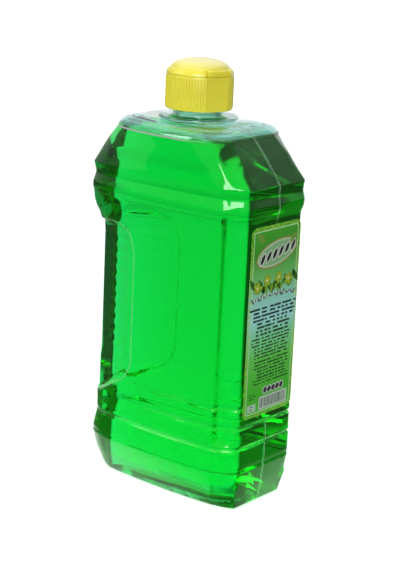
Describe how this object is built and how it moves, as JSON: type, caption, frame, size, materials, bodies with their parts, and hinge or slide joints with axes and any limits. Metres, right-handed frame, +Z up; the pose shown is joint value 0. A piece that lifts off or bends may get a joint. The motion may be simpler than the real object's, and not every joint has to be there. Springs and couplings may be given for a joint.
{
  "type": "cologne bottle",
  "caption": "Clear blown bottle of green cologne with flat sides, a ribbed hand grip, a band and shoulder, a screw-on flip-top cap and a label on its narrow face.",
  "frame": {"origin": "On the standing plane, straight under the axis of the neck.", "axes": "+Z up along the neck's axis, X across the two wide faces, -Y towards the label, +Y towards the hand grip"},
  "size_m": [0.0622, 0.1033, 0.2144],
  "materials": {
    "clear_plastic": "clear glossy polyester",
    "cologne_liquid": "clear green liquid",
    "label_film": "printed film",
    "cap_plastic": "moulded polypropylene, satin gloss",
    "seal_foam": "foamed polyethylene"
  },
  "bodies": {
    "bottle": {"bottle": "clear_plastic", "cologne": "cologne_liquid", "front_label": "label_film"},
    "seal": {"sealing_disc": "seal_foam"},
    "cap": {"cap_base": "cap_plastic"},
    "lid": {"flip_lid": "cap_plastic"}
  },
  "joints": [
    {"name": "cap_lift", "type": "slide", "parent": "bottle", "child": "seal", "axis": [0, 0, 1], "range_m": [0, 0.0064]},
    {"name": "cap_turn", "type": "hinge", "parent": "seal", "child": "cap", "pos_m": [0, 0, 0.2], "axis": [0, 0, 1], "range_deg": [0, 540]},
    {"name": "lid_hinge", "type": "hinge", "parent": "cap", "child": "lid", "pos_m": [-0.00429, -0.01437, 0.2068], "axis": [0.9583, -0.2857, 0], "range_deg": [0, 130]}
  ],
  "couplings": [
    {"joint": "cap_lift", "follows": "cap_turn", "m_per_rad": 0.000673}
  ]
}
